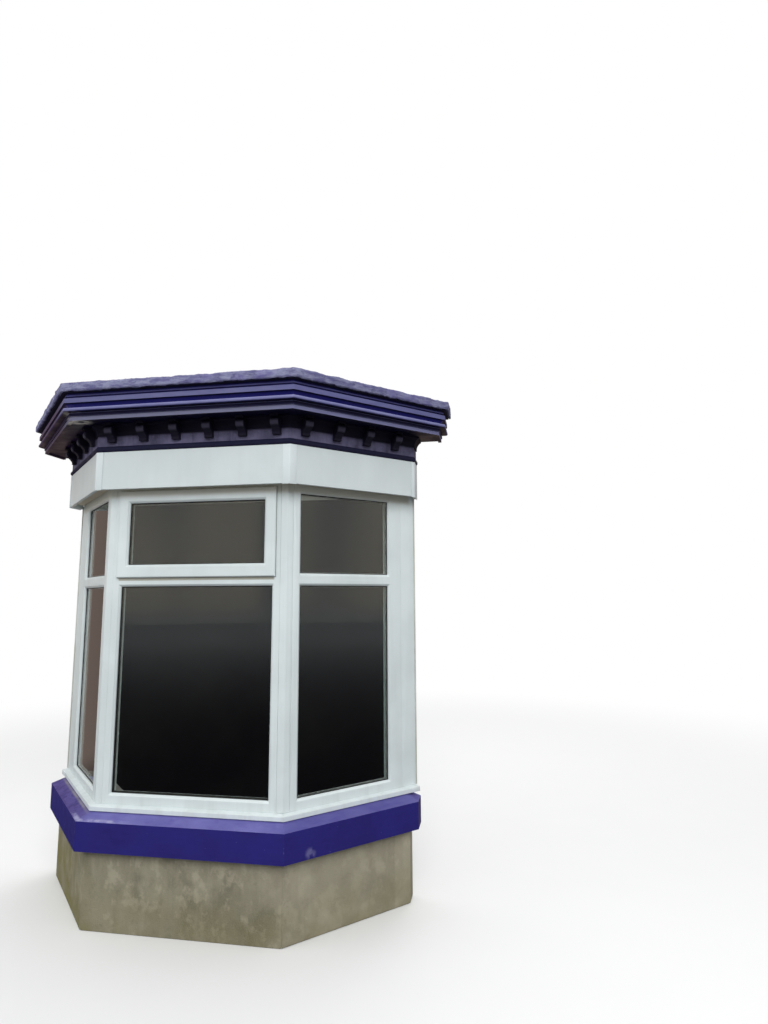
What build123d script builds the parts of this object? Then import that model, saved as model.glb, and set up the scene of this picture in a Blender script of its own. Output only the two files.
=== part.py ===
from build123d import *
import os
from math import cos, radians, sin, tan

# A canted bay window of three glazed faces under a bracketed cornice, in millimetres.
# X runs along the house wall, Y points at the house and Z is up from the ground.
# Offsets are measured outwards, square to the bay, from the outer face of the window frames.

# Plan of the window frames' outer face
CANT = 45.0               # turn of each slanting side from the front
FRONT_HALF = 540.0        # half the front face
DEPTH = 628.0             # the front face from the house wall

# Dwarf wall, rendered masonry
WALL_HEIGHT = 412.0
WALL_FACE = 48.0          # offset of its outer face
WALL_THICK = 220.0

# Stone sill
SILL_NOSE = 102.0         # offset of its upright face
SILL_FACE_HEIGHT = 152.0
SILL_RISE = 31.0          # rise of the weathered top
SILL_SLOPE_TOP = 12.0     # offset where the weathered top meets the flat bed
SILL_BACK = -100.0
SILL_ARRIS = 9.0          # radius worn on the front edge
DRIP_SET_BACK = 24.0      # throating under the nose
DRIP_WIDTH = 14.0

# Window cill
CILL_HEIGHT = 32.0
CILL_NOSE = 30.0          # offset of its nose
CILL_NOSE_DROP = 7.0      # fall from the frames to the top of the nose

# Window frames
FRAME_DEPTH = 70.0
BOTTOM_RAIL = 56.0        # frame foot to lower glass
LOWER_LIGHT = 1129.0      # height of the lower glass
CANT_TRANSOM = 68.0
CANT_TOP_LIGHT = 450.0
CANT_HEAD = 60.0
FRONT_TRANSOM = 50.0      # lower glass to the foot of the fanlight sash
SASH_BOTTOM_RAIL = 73.0
FANLIGHT = 357.0          # height of the fanlight glass
SASH_TOP_RAIL = 72.0
FRONT_MARGIN = 85.0       # front corner to the lower glass
SASH_MARGIN = 130.0       # front corner to the fanlight glass
SASH_STILE = 66.0
CANT_INNER_MARGIN = 88.0
CANT_OUTER_MARGIN = 200.0
FRAME_BEVEL = 11.0        # sloping edge round each pane
SASH_LAP = 15.0           # overlap of the sash on the fixed frame
SASH_PROUD = 18.0
SASH_BODY = 50.0
SASH_EASE = 5.0
GLASS_THICK = 24.0
GLASS_SET_BACK = 20.0
GLASS_GRIP = 12.0         # depth of the glazing groove round each pane
POST_LEG = 38.0           # width of a corner post on each of its two faces
TRIM_WIDTH = 108.0        # flat trim beside each slanting frame
TRIM_THICK = 12.0

# Timber head, fascia and frieze
HEAD_FACE = 78.0          # offset of the head's outer face
HEAD_THICK = 178.0
FASCIA_THICK = 20.0
FASCIA_DROP = 27.0        # hang below the head
FASCIA_HEIGHT = 218.0
FRIEZE_THICK = 18.0
BEAD_HEIGHT = 33.0
BEAD_PROUD = 10.0
FRIEZE_HEIGHT = 123.0     # top of the bead to the soffit

# Cornice, from the soffit up
SOFFIT_THICK = 22.0
SOFFIT_REACH = 146.0      # frieze face to the back of the lower fillet
BED_MOULD_HEIGHT = 62.0
BED_MOULD_REACH = 34.0
MOULD_LIP = 7.0           # height and reach of the bed mould's two square edges
HOLLOW_BOW = 0.3          # how far a hollow hangs back from a straight slope, as a share of it
FILLET_DROP = 9.0         # hang of the lower fillet below the soffit
FILLET_HEIGHT = 22.0
FILLET_WIDTH = 20.0
UNDERCUT_HEIGHT = 21.0
UNDERCUT_STEP = 5.0       # from the lower fillet's face out to the undercut's
TORUS_HEIGHT = 21.0
TORUS_PROUD = 36.0        # from the undercut's face
COVE_HEIGHT = 27.0
COVE_SET_BACK = 27.0      # from the upper fillet's face to the root of the cove
UPPER_FILLET_HEIGHT = 26.0
UPPER_FILLET_BACK = 3.0   # from the torus's face
TOP_BOARD_HEIGHT = 32.0
TOP_BOARD_BACK = 17.0     # from the upper fillet's face
STRIP_HEIGHT = 8.0
STRIP_PROUD = 8.0

# Brackets
FRONT_BRACKETS = 6
CANT_BRACKETS = 4
FRONT_BRACKET_ENDS = (97.0, 72.0)   # frieze corners to the first and last bracket, as they are set out
CANT_BRACKET_ENDS = (86.0, 158.0)
BRACKET_WIDTH = 46.0
BRACKET_REACH = 74.0      # cap, from the frieze face
CAP_HEIGHT = 13.0
BELLY_REACH = 68.0
FOOT_REACH = 26.0
FOOT_HEIGHT = 14.0
FOOT_CLEAR = 19.0         # bead to the foot of a bracket
BELLY_SHARE = 0.33        # drop of the belly's widest place, of the height between cap and foot
WAIST_SHARE = 0.33        # rise of the waist above the foot
HOLLOW_RISE_SHARE = 0.12  # rise of the lower hollow's middle above the foot
HOLLOW_REACH_SHARE = 0.08 # its reach past the foot

# Roof
DECK_THICK = 18.0
DECK_SET_BACK = 16.0      # from the covering's edge
EDGE_THICK = 50.0         # depth of the covering's turned-down edge
EDGE_PROUD = 25.0         # from the upper fillet's face
ROOF_RISE = 42.0
CREST_LINE = -150.0       # offset at which the slopes reach their crest
UPSTAND_THICK = 14.0
UPSTAND_HEIGHT = 80.0
UPSTAND_END_HEIGHT = 25.0

# Inside boards
BOARD_OVERHANG = 25.0     # nosing of the window board past the wall's inner face
BOARD_THICK = 25.0
CEILING_THICK = 12.0
RUN_PAST = 300.0          # how far a band is swept past the wall before it is cut there

# Heights worked out from the sizes above
sill_arris_z = WALL_HEIGHT + SILL_FACE_HEIGHT
cill_bed = sill_arris_z + SILL_RISE
frame_foot = cill_bed + CILL_HEIGHT
lower_light = (frame_foot + BOTTOM_RAIL, frame_foot + BOTTOM_RAIL + LOWER_LIGHT)
cant_top_light = (lower_light[1] + CANT_TRANSOM, lower_light[1] + CANT_TRANSOM + CANT_TOP_LIGHT)
frame_head = cant_top_light[1] + CANT_HEAD
sash_foot = lower_light[1] + FRONT_TRANSOM
fanlight = (sash_foot + SASH_BOTTOM_RAIL, sash_foot + SASH_BOTTOM_RAIL + FANLIGHT)
sash_heights = (sash_foot, fanlight[1] + SASH_TOP_RAIL)
fascia_foot = frame_head - FASCIA_DROP
fascia_top = fascia_foot + FASCIA_HEIGHT
bead_top = fascia_top + BEAD_HEIGHT
soffit = bead_top + FRIEZE_HEIGHT
fillet_foot = soffit - FILLET_DROP
fillet_top = fillet_foot + FILLET_HEIGHT
torus_foot = fillet_top + UNDERCUT_HEIGHT
torus_top = torus_foot + TORUS_HEIGHT
upper_fillet_foot = torus_top + COVE_HEIGHT
upper_fillet_top = upper_fillet_foot + UPPER_FILLET_HEIGHT
cornice_top = upper_fillet_top + TOP_BOARD_HEIGHT
deck_top = cornice_top + DECK_THICK
roof_edge = cornice_top + EDGE_THICK
roof_crest = roof_edge + ROOF_RISE

# Offsets worked out from the sizes above
wall_inside = WALL_FACE - WALL_THICK
fascia_face = HEAD_FACE + FASCIA_THICK
frieze_face = HEAD_FACE + FRIEZE_THICK
head_inside = HEAD_FACE - HEAD_THICK
cornice_back = frieze_face + SOFFIT_REACH
fillet_face = cornice_back + FILLET_WIDTH
undercut_face = fillet_face + UNDERCUT_STEP
torus_face = undercut_face + TORUS_PROUD
upper_fillet_face = torus_face - UPPER_FILLET_BACK
cove_root = upper_fillet_face - COVE_SET_BACK
top_board_face = upper_fillet_face - TOP_BOARD_BACK
roof_nose = upper_fillet_face + EDGE_PROUD
deck_edge = roof_nose - DECK_SET_BACK
board_nose = wall_inside - BOARD_OVERHANG

# Plan places worked out from the sizes above
wall_y = (DEPTH + roof_nose) / 2
front_y = wall_y - DEPTH
mitre = tan(radians(CANT / 2))
trim_half = FRONT_HALF + DEPTH / tan(radians(CANT))
side_half = trim_half - HEAD_FACE
cant_length = DEPTH / sin(radians(CANT))
cant_frame_end = cant_length - TRIM_WIDTH

os.makedirs("parts", exist_ok=True)

front_plane = Plane(origin=(0, front_y, 0), x_dir=(1, 0, 0), z_dir=(0, -1, 0))
cant_plane = Plane(
    origin=(FRONT_HALF, front_y, 0),
    x_dir=(cos(radians(CANT)), sin(radians(CANT)), 0),
    z_dir=(sin(radians(CANT)), -cos(radians(CANT)), 0),
)
right_mitre = Plane(origin=(FRONT_HALF, front_y, 0), z_dir=(-1, -mitre, 0))
left_mitre = Plane(origin=(-FRONT_HALF, front_y, 0), z_dir=(1, -mitre, 0))
wall_plane = Plane(origin=(0, wall_y, 0), x_dir=(1, 0, 0), z_dir=(0, -1, 0))
section_plane = Plane(origin=(-side_half, wall_y + RUN_PAST, 0), x_dir=(-1, 0, 0), z_dir=(0, 1, 0))


def both_sides(right):
    """A plan outline from its right half, starting at the left wall end."""
    return [(-x, y) for x, y in reversed(right)] + right


def glazing_points(offset):
    """Plan corners of the window line at an offset, whose slanting sides run on to the wall."""
    front_x = FRONT_HALF + offset * mitre
    end_x = front_x + (DEPTH + offset) / tan(radians(CANT))
    return both_sides([(front_x, front_y - offset), (end_x, wall_y)])


def bay_points(offset):
    """Plan corners of the structure at an offset. Deep inside, the short side returns are gone."""
    front_x = FRONT_HALF + offset * mitre
    side_x = side_half + offset
    shoulder_y = front_y - offset + (side_x - front_x) * tan(radians(CANT))
    if shoulder_y >= wall_y:
        return glazing_points(offset)
    return both_sides([(front_x, front_y - offset), (side_x, shoulder_y), (side_x, wall_y)])


def save(piece, name):
    """Label a finished piece and write it."""
    piece.part.label = name
    export_step(piece.part, f"parts/{name}.step")


def save_pair(piece, name):
    """Write a right-hand piece and its left-hand twin."""
    save(piece, f"{name}_right")
    with BuildPart() as twin:
        mirror(piece.part, about=Plane.YZ)
    save(twin, f"{name}_left")


def run_round(section):
    """Run a cross-section round the bay, mitred at each corner and cut flush at the wall."""
    corners = bay_points(0)[1:-1]
    run_out = wall_y + RUN_PAST
    with BuildPart() as band:
        with BuildLine() as course:
            Polyline((-side_half, run_out), *corners, (side_half, run_out))
        sweep(section.sketch, path=course.wire(), transition=Transition.RIGHT)
        split(bisect_by=wall_plane, keep=Keep.TOP)
    return band


def front_of(band, extras=()):
    """The front piece of a band, cut at both mitres, with what is fixed on it."""
    with BuildPart() as front:
        add(band.part)
        split(bisect_by=right_mitre, keep=Keep.TOP)
        split(bisect_by=left_mitre, keep=Keep.TOP)
        if extras:
            add(extras)
    return front


def right_of(band, extras=()):
    """The right-hand piece of a band, from the mitre to the wall, with what is fixed on it."""
    with BuildPart() as right:
        add(band.part)
        split(bisect_by=right_mitre, keep=Keep.BOTTOM)
        if extras:
            add(extras)
    return right


def save_mitred(band, name):
    """Write the three pieces of a band."""
    save(front_of(band), f"{name}_front")
    save_pair(right_of(band), name)


# The dwarf wall: an outer part under the stone sill and an inner leaf behind it
with BuildSketch(section_plane) as wall_section:
    with BuildLine():
        Polyline(
            (WALL_FACE, 0),
            (WALL_FACE, WALL_HEIGHT),
            (SILL_BACK, WALL_HEIGHT),
            (SILL_BACK, cill_bed),
            (wall_inside, cill_bed),
            (wall_inside, 0),
            close=True,
        )
    make_face()
save_mitred(run_round(wall_section), "wall")

# The stone sill: upright face with a worn arris, weathered top and a throating beneath
drip_outer = SILL_NOSE - DRIP_SET_BACK
with BuildSketch(section_plane) as sill_section:
    with BuildLine():
        Polyline(
            (SILL_NOSE, WALL_HEIGHT),
            (SILL_NOSE, sill_arris_z),
            (SILL_SLOPE_TOP, cill_bed),
            (SILL_BACK, cill_bed),
            (SILL_BACK, WALL_HEIGHT),
            (drip_outer - DRIP_WIDTH, WALL_HEIGHT),
        )
        ThreePointArc(
            (drip_outer - DRIP_WIDTH, WALL_HEIGHT),
            (drip_outer - DRIP_WIDTH / 2, WALL_HEIGHT + DRIP_WIDTH / 2),
            (drip_outer, WALL_HEIGHT),
        )
        Line((drip_outer, WALL_HEIGHT), (SILL_NOSE, WALL_HEIGHT))
    make_face()
    arris = sill_section.vertices().sort_by_distance((-side_half - SILL_NOSE, wall_y, sill_arris_z))[0]
    fillet(arris, SILL_ARRIS)
save_mitred(run_round(sill_section), "sill")


def window_run(section, name):
    """Write the front piece and the two slanting pieces of a section that follows the window line."""
    with BuildPart() as band:
        with BuildLine() as course:
            Polyline(*glazing_points(0))
        sweep(section.sketch, path=course.wire(), transition=Transition.RIGHT)
        with BuildSketch():
            with BuildLine():
                Polyline(*bay_points(SILL_NOSE), close=True)
            make_face()
        extrude(amount=frame_head, mode=Mode.INTERSECT)
    save(front_of(band), f"{name}_front")
    save_pair(right_of(band), name)


# The window cill, on the line of the frames, with a short sloping nose
window_end = glazing_points(0)[0]
cill_plane = Plane(
    origin=(window_end[0], window_end[1], 0),
    x_dir=(-sin(radians(CANT)), -cos(radians(CANT)), 0),
    z_dir=(-cos(radians(CANT)), sin(radians(CANT)), 0),
)
with BuildSketch(cill_plane) as cill_section:
    with BuildLine():
        Polyline(
            (CILL_NOSE, cill_bed),
            (CILL_NOSE, frame_foot - CILL_NOSE_DROP),
            (0, frame_foot),
            (-FRAME_DEPTH, frame_foot),
            (-FRAME_DEPTH, cill_bed),
            close=True,
        )
    make_face()
window_run(cill_section, "cill")


def block_on(face_plane, centre, width, heights, depth):
    """A plain block on a face plane, from the face inwards."""
    with BuildPart() as block:
        with BuildSketch(face_plane):
            with Locations((centre, (heights[0] + heights[1]) / 2)):
                Rectangle(width, heights[1] - heights[0])
        extrude(amount=-depth)
    return block


def pane(face_plane, centre, width, heights):
    """A sealed glass unit, held by its edges in the groove round an opening."""
    grip = (heights[0] - GLASS_GRIP, heights[1] + GLASS_GRIP)
    set_back = face_plane.offset(-GLASS_SET_BACK)
    return block_on(set_back, centre, width + 2 * GLASS_GRIP, grip, GLASS_THICK)


def light_void(face_plane, centre, width, heights, depth):
    """The space that a glazed light leaves: bevelled edge, opening and glazing groove."""
    with BuildPart() as void:
        with BuildSketch(face_plane):
            with Locations((centre, (heights[0] + heights[1]) / 2)):
                Rectangle(width + 2 * FRAME_BEVEL, heights[1] - heights[0] + 2 * FRAME_BEVEL)
        extrude(amount=-FRAME_BEVEL, taper=45)
        add(block_on(face_plane, centre, width, heights, depth).part)
        add(pane(face_plane, centre, width, heights).part)
    return void.part


def on_cant(along, offset):
    """Plan point on the right slanting face: distance from its front corner and offset."""
    place = cant_plane.from_local_coords((along, 0, offset))
    return (place.X, place.Y)


def upright(points, name):
    """Write a pair of posts of a plan outline, as tall as the frames."""
    with BuildPart() as post:
        with BuildSketch(Plane.XY.offset(frame_foot)):
            with BuildLine():
                Polyline(*points, close=True)
            make_face()
        extrude(amount=frame_head - frame_foot)
    save_pair(post, name)


frame_heights = (frame_foot, frame_head)

# The front window: a fixed lower light and an opening for the fanlight sash
front_glass_width = 2 * (FRONT_HALF - FRONT_MARGIN)
fanlight_width = 2 * (FRONT_HALF - SASH_MARGIN)
sash_width = fanlight_width + 2 * SASH_STILE
opening_width = sash_width - 2 * SASH_LAP
opening_heights = (sash_heights[0] + SASH_LAP, sash_heights[1] - SASH_LAP)
with BuildPart() as frame_front:
    add(block_on(front_plane, 0, 2 * (FRONT_HALF - POST_LEG), frame_heights, FRAME_DEPTH).part)
    add(light_void(front_plane, 0, front_glass_width, lower_light, FRAME_DEPTH), mode=Mode.SUBTRACT)
    opening = block_on(front_plane, 0, opening_width, opening_heights, FRAME_DEPTH)
    add(opening.part, mode=Mode.SUBTRACT)
save(frame_front, "frame_front")
save(pane(front_plane, 0, front_glass_width, lower_light), "glass_front_lower")

# The fanlight sash: a proud face that laps the frame, on a body inside the opening
sash_plane = front_plane.offset(SASH_PROUD)
with BuildPart() as fanlight_sash:
    with BuildSketch(sash_plane):
        with Locations((0, (sash_heights[0] + sash_heights[1]) / 2)):
            Rectangle(sash_width, sash_heights[1] - sash_heights[0])
    extrude(amount=-SASH_PROUD)
    chamfer(fanlight_sash.faces().sort_by(Axis.Y)[0].edges(), SASH_EASE)
    add(block_on(front_plane, 0, opening_width, opening_heights, SASH_BODY).part)
    add(light_void(sash_plane, 0, fanlight_width, fanlight, SASH_PROUD + SASH_BODY), mode=Mode.SUBTRACT)
save(fanlight_sash, "fanlight_sash")
save(pane(sash_plane, 0, fanlight_width, fanlight), "glass_fanlight")

# The slanting windows: a fixed lower light and a fixed top light
cant_glass_width = cant_length - CANT_INNER_MARGIN - CANT_OUTER_MARGIN
cant_glass_centre = CANT_INNER_MARGIN + cant_glass_width / 2
cant_frame_width = cant_frame_end - POST_LEG
cant_frame_centre = POST_LEG + cant_frame_width / 2
with BuildPart() as frame_cant:
    add(block_on(cant_plane, cant_frame_centre, cant_frame_width, frame_heights, FRAME_DEPTH).part)
    for heights in (lower_light, cant_top_light):
        void = light_void(cant_plane, cant_glass_centre, cant_glass_width, heights, FRAME_DEPTH)
        add(void, mode=Mode.SUBTRACT)
save_pair(frame_cant, "frame")
save_pair(pane(cant_plane, cant_glass_centre, cant_glass_width, lower_light), "glass_lower")
save_pair(pane(cant_plane, cant_glass_centre, cant_glass_width, cant_top_light), "glass_upper")

# The corner posts, shaped to the turn between two frames
post_outline = [
    (FRONT_HALF - POST_LEG, front_y),
    (FRONT_HALF, front_y),
    on_cant(POST_LEG, 0),
    on_cant(POST_LEG, -FRAME_DEPTH),
    (FRONT_HALF - FRAME_DEPTH * mitre, front_y + FRAME_DEPTH),
    (FRONT_HALF - POST_LEG, front_y + FRAME_DEPTH),
]
upright(post_outline, "corner_post")

# The end trims beside the slanting frames, and the timber studs behind them
trim_outline = [
    on_cant(cant_frame_end, 0),
    glazing_points(0)[-1],
    glazing_points(-TRIM_THICK)[-1],
    on_cant(cant_frame_end, -TRIM_THICK),
]
upright(trim_outline, "end_trim")
stud_outline = [
    on_cant(cant_frame_end, -TRIM_THICK),
    glazing_points(-TRIM_THICK)[-1],
    glazing_points(-FRAME_DEPTH)[-1],
    on_cant(cant_frame_end, -FRAME_DEPTH),
]
upright(stud_outline, "end_stud")

# The timber head over the frames
with BuildSketch(section_plane) as head_section:
    with BuildLine():
        Polyline(
            (HEAD_FACE, frame_head),
            (HEAD_FACE, cornice_top),
            (head_inside, cornice_top),
            (head_inside, frame_head),
            close=True,
        )
    make_face()
save_mitred(run_round(head_section), "head")

# The fascia boards, which hang below the head
with BuildSketch(section_plane) as fascia_section:
    with BuildLine():
        Polyline(
            (HEAD_FACE, fascia_foot),
            (fascia_face, fascia_foot),
            (fascia_face, fascia_top),
            (HEAD_FACE, fascia_top),
            close=True,
        )
    make_face()
save_mitred(run_round(fascia_section), "fascia")

# The frieze: a bead along its foot, a plain board and a hollow bed mould under the soffit
mould_foot = soffit - BED_MOULD_HEIGHT
mould_face = frieze_face + BED_MOULD_REACH
bead_middle = (frieze_face + BEAD_PROUD, (fascia_top + bead_top) / 2)
hollow_middle = (
    frieze_face + MOULD_LIP + (BED_MOULD_REACH - MOULD_LIP) * HOLLOW_BOW,
    mould_foot + (BED_MOULD_HEIGHT - MOULD_LIP) * (1 - HOLLOW_BOW),
)
with BuildSketch(section_plane) as frieze_section:
    with BuildLine():
        Line((HEAD_FACE, fascia_top), (frieze_face, fascia_top))
        ThreePointArc((frieze_face, fascia_top), bead_middle, (frieze_face, bead_top))
        Polyline((frieze_face, bead_top), (frieze_face, mould_foot), (frieze_face + MOULD_LIP, mould_foot))
        ThreePointArc(
            (frieze_face + MOULD_LIP, mould_foot), hollow_middle, (mould_face, soffit - MOULD_LIP)
        )
        Polyline(
            (mould_face, soffit - MOULD_LIP),
            (mould_face, soffit),
            (HEAD_FACE, soffit),
            (HEAD_FACE, fascia_top),
        )
    make_face()
frieze = run_round(frieze_section)


def bracket_on(face_plane, along):
    """A scrolled bracket on the frieze: square cap, swelling belly, hollow and small square foot."""
    origin = face_plane.from_local_coords((along, 0, frieze_face))
    side = Plane(origin=origin, x_dir=face_plane.z_dir, z_dir=-face_plane.x_dir)
    foot_z = bead_top + FOOT_CLEAR
    foot_top = (FOOT_REACH, foot_z + FOOT_HEIGHT)
    cap_foot = soffit - CAP_HEIGHT
    drop = cap_foot - foot_top[1]
    neck_x = (FOOT_REACH + BELLY_REACH) / 2
    belly = (BELLY_REACH, cap_foot - drop * BELLY_SHARE)
    waist = (neck_x, foot_top[1] + drop * WAIST_SHARE)
    hollow = (FOOT_REACH + drop * HOLLOW_REACH_SHARE, foot_top[1] + drop * HOLLOW_RISE_SHARE)
    with BuildPart() as bracket:
        with BuildSketch(side):
            with BuildLine():
                Polyline((0, foot_z), (0, soffit), (BRACKET_REACH, soffit), (BRACKET_REACH, cap_foot))
                Line((BRACKET_REACH, cap_foot), (neck_x, cap_foot))
                ThreePointArc((neck_x, cap_foot), belly, waist)
                ThreePointArc(waist, hollow, foot_top)
                Polyline(foot_top, (FOOT_REACH, foot_z), (0, foot_z))
            make_face()
        extrude(amount=BRACKET_WIDTH / 2, both=True)
    return bracket.part


def bracket_row(face_plane, start, length, ends, count):
    """Brackets at even spacing along a face, between two end spaces."""
    pitch = (length - sum(ends)) / (count - 1)
    return [bracket_on(face_plane, start + ends[0] + i * pitch) for i in range(count)]


frieze_turn = frieze_face * mitre
frieze_half = FRONT_HALF + frieze_turn
side_length = (side_half - FRONT_HALF) / cos(radians(CANT)) + 2 * frieze_turn
front_length = 2 * frieze_half
front_brackets = bracket_row(front_plane, -frieze_half, front_length, FRONT_BRACKET_ENDS, FRONT_BRACKETS)
cant_brackets = bracket_row(cant_plane, -frieze_turn, side_length, CANT_BRACKET_ENDS, CANT_BRACKETS)
save(front_of(frieze, front_brackets), "frieze_front")
save_pair(right_of(frieze, cant_brackets), "frieze")

# The cornice: a soffit board turned up into a moulded face
torus_nose = (torus_face, (torus_foot + torus_top) / 2)
torus_root = torus_face - TORUS_HEIGHT / 2
cove_middle = (cove_root + COVE_SET_BACK * HOLLOW_BOW, torus_top + COVE_HEIGHT * (1 - HOLLOW_BOW))
strip_foot = upper_fillet_top + (TOP_BOARD_HEIGHT - STRIP_HEIGHT) / 2
strip_face = top_board_face + STRIP_PROUD
with BuildSketch(section_plane) as cornice_section:
    with BuildLine():
        Polyline(
            (HEAD_FACE, soffit),
            (cornice_back, soffit),
            (cornice_back, fillet_foot),
            (fillet_face, fillet_foot),
            (fillet_face, fillet_top),
            (undercut_face, fillet_top),
            (undercut_face, torus_foot),
            (torus_root, torus_foot),
        )
        ThreePointArc((torus_root, torus_foot), torus_nose, (torus_root, torus_top))
        Line((torus_root, torus_top), (cove_root, torus_top))
        ThreePointArc((cove_root, torus_top), cove_middle, (upper_fillet_face, upper_fillet_foot))
        Polyline(
            (upper_fillet_face, upper_fillet_foot),
            (upper_fillet_face, upper_fillet_top),
            (top_board_face, upper_fillet_top),
            (top_board_face, strip_foot),
            (strip_face, strip_foot),
            (strip_face, strip_foot + STRIP_HEIGHT),
            (top_board_face, strip_foot + STRIP_HEIGHT),
            (top_board_face, cornice_top),
            (cornice_back, cornice_top),
            (cornice_back, soffit + SOFFIT_THICK),
            (HEAD_FACE, soffit + SOFFIT_THICK),
            (HEAD_FACE, soffit),
        )
    make_face()
save_mitred(run_round(cornice_section), "cornice")

# The roof deck
with BuildPart() as roof_deck:
    with BuildSketch(Plane.XY.offset(cornice_top)):
        with BuildLine():
            Polyline(*bay_points(deck_edge), close=True)
        make_face()
    extrude(amount=DECK_THICK)
save(roof_deck, "roof_deck")

# The roof covering: low hipped slopes, an edge turned down over the deck and an upstand at the wall
upstand_end = side_half + roof_nose
upstand_crest = side_half + CREST_LINE
with BuildPart() as roof_covering:
    with BuildSketch(Plane.XY.offset(cornice_top)):
        with BuildLine():
            Polyline(*bay_points(roof_nose), close=True)
        make_face()
    extrude(amount=EDGE_THICK)
    add(roof_deck.part, mode=Mode.SUBTRACT)
    with BuildSketch(Plane.XY.offset(roof_edge)):
        with BuildLine():
            Polyline(*bay_points(roof_nose), close=True)
        make_face()
    with BuildSketch(Plane.XY.offset(roof_crest)):
        with BuildLine():
            Polyline(*bay_points(CREST_LINE), close=True)
        make_face()
    loft(ruled=True)
    with BuildSketch(wall_plane):
        with BuildLine():
            Polyline(
                (-upstand_end, roof_edge),
                (upstand_end, roof_edge),
                (upstand_end, roof_edge + UPSTAND_END_HEIGHT),
                (upstand_crest, roof_crest + UPSTAND_HEIGHT),
                (-upstand_crest, roof_crest + UPSTAND_HEIGHT),
                (-upstand_end, roof_edge + UPSTAND_END_HEIGHT),
                close=True,
            )
        make_face()
    extrude(amount=UPSTAND_THICK)
save(roof_covering, "roof_covering")

# The ceiling board, between the frames
with BuildPart() as ceiling_board:
    with BuildSketch(Plane.XY.offset(frame_head)):
        with BuildLine():
            Polyline(*glazing_points(-FRAME_DEPTH), close=True)
        make_face()
    extrude(amount=-CEILING_THICK)
save(ceiling_board, "ceiling_board")

# The window board, on the inner leaf of the wall and against the backs of the frames
with BuildPart() as window_board:
    with BuildSketch(Plane.XY.offset(cill_bed)):
        with BuildLine():
            Polyline(*glazing_points(-FRAME_DEPTH), close=True)
        make_face()
        with BuildLine():
            Polyline(*bay_points(board_nose), close=True)
        make_face(mode=Mode.SUBTRACT)
    extrude(amount=BOARD_THICK)
save(window_board, "window_board")
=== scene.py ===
import logging
import math
from dataclasses import dataclass, field
from enum import Enum
from typing import Dict, Optional, Sequence, Tuple, Union

import bpy
from mathutils import Matrix, Vector


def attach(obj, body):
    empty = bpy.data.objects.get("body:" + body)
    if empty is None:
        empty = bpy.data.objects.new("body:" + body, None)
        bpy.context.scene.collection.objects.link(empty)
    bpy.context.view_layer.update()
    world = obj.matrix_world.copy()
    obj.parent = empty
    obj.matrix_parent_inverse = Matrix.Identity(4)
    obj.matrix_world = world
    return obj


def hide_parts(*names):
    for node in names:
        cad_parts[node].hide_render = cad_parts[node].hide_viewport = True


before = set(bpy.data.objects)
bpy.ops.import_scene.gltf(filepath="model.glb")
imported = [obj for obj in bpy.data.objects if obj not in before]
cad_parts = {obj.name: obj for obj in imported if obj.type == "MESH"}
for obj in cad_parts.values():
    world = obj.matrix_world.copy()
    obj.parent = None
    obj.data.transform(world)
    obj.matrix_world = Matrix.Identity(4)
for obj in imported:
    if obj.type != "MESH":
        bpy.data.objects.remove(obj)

log = logging.getLogger("bay_window")
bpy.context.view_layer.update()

Number = Union[int, float]
Pair = Tuple[float, float]
Triple = Tuple[float, float, float]
Colour = Tuple[float, float, float, float]
Socket = bpy.types.NodeSocket
Piece = bpy.types.Object
Settings = Dict[str, object]

# Plan and heights of the bay, in metres, as in the CAD
FRONT_HALF = 0.54
FRONT_Y = -0.1515
WALL_Y = 0.4765
SIDE_HALF = 1.0901
CANT = math.radians(45)
MITRE = math.tan(CANT / 2)
FASCIA_FACE = 0.098
FRIEZE_FACE = 0.096
SOFFIT_Z = 2.737
FASCIA_FOOT = 2.363
FASCIA_TOP = 2.581

UPRIGHT = math.radians(90)
WHITE = (1.0, 1.0, 1.0, 1.0)


def srgb(*channels: Number) -> Colour:
    """A display colour, from 0 to 255 a channel, as the renderer's linear colour."""
    shares = [channel / 255 for channel in channels]
    return (*(s / 12.92 if s <= 0.04045 else ((s + 0.055) / 1.055) ** 2.4 for s in shares), 1.0)


class Slot(Enum):
    """Two of the record's material slots."""
    WHITE = "white_pvc"
    ROOF = "roof_paint"


# Shader maths


Amount = Union["Value", Number]


@dataclass(frozen=True)
class Value:
    """A shader socket that is added, multiplied and compared like a number."""

    graph: "Graph"
    socket: Socket

    def _math(self, operation: str, *terms: Amount, clamp: bool = False) -> "Value":
        """A Math node on these terms."""
        settings = {"operation": operation, "use_clamp": clamp}
        return self.graph.value("Math", settings, dict(enumerate(terms)))

    def __add__(self, other: Amount) -> "Value":
        """self + other."""
        return self._math("ADD", self, other)

    __radd__ = __add__

    def __sub__(self, other: Amount) -> "Value":
        """self - other."""
        return self._math("SUBTRACT", self, other)

    def __rsub__(self, other: Number) -> "Value":
        """other - self."""
        return self._math("SUBTRACT", other, self)

    def __mul__(self, other: Amount) -> "Value":
        """self * other."""
        return self._math("MULTIPLY", self, other)

    __rmul__ = __mul__

    def held(self) -> "Value":
        """The value held between 0 and 1."""
        return self._math("ADD", self, 0, clamp=True)

    def size(self) -> "Value":
        """The value without its sign."""
        return self._math("ABSOLUTE", self)

    def larger(self, other: Amount) -> "Value":
        """The larger of two values."""
        return self._math("MAXIMUM", self, other)

    def step(self, low: float, high: float) -> "Value":
        """A soft step from 0 at low to 1 at high; a high below low turns it round."""
        settings = {"interpolation_type": "SMOOTHSTEP", "clamp": True}
        return self.graph.value("MapRange", settings, {"Value": self, "From Min": low, "From Max": high})

    def band(self, low: float, high: float, soft: float) -> "Value":
        """1 between low and high and 0 outside, over a soft edge."""
        return self.step(low - soft, low + soft) * self.step(high + soft, high - soft)


Term = Union[Value, Number, Sequence[float], Socket]
Inputs = Dict[Union[str, int], Term]


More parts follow.
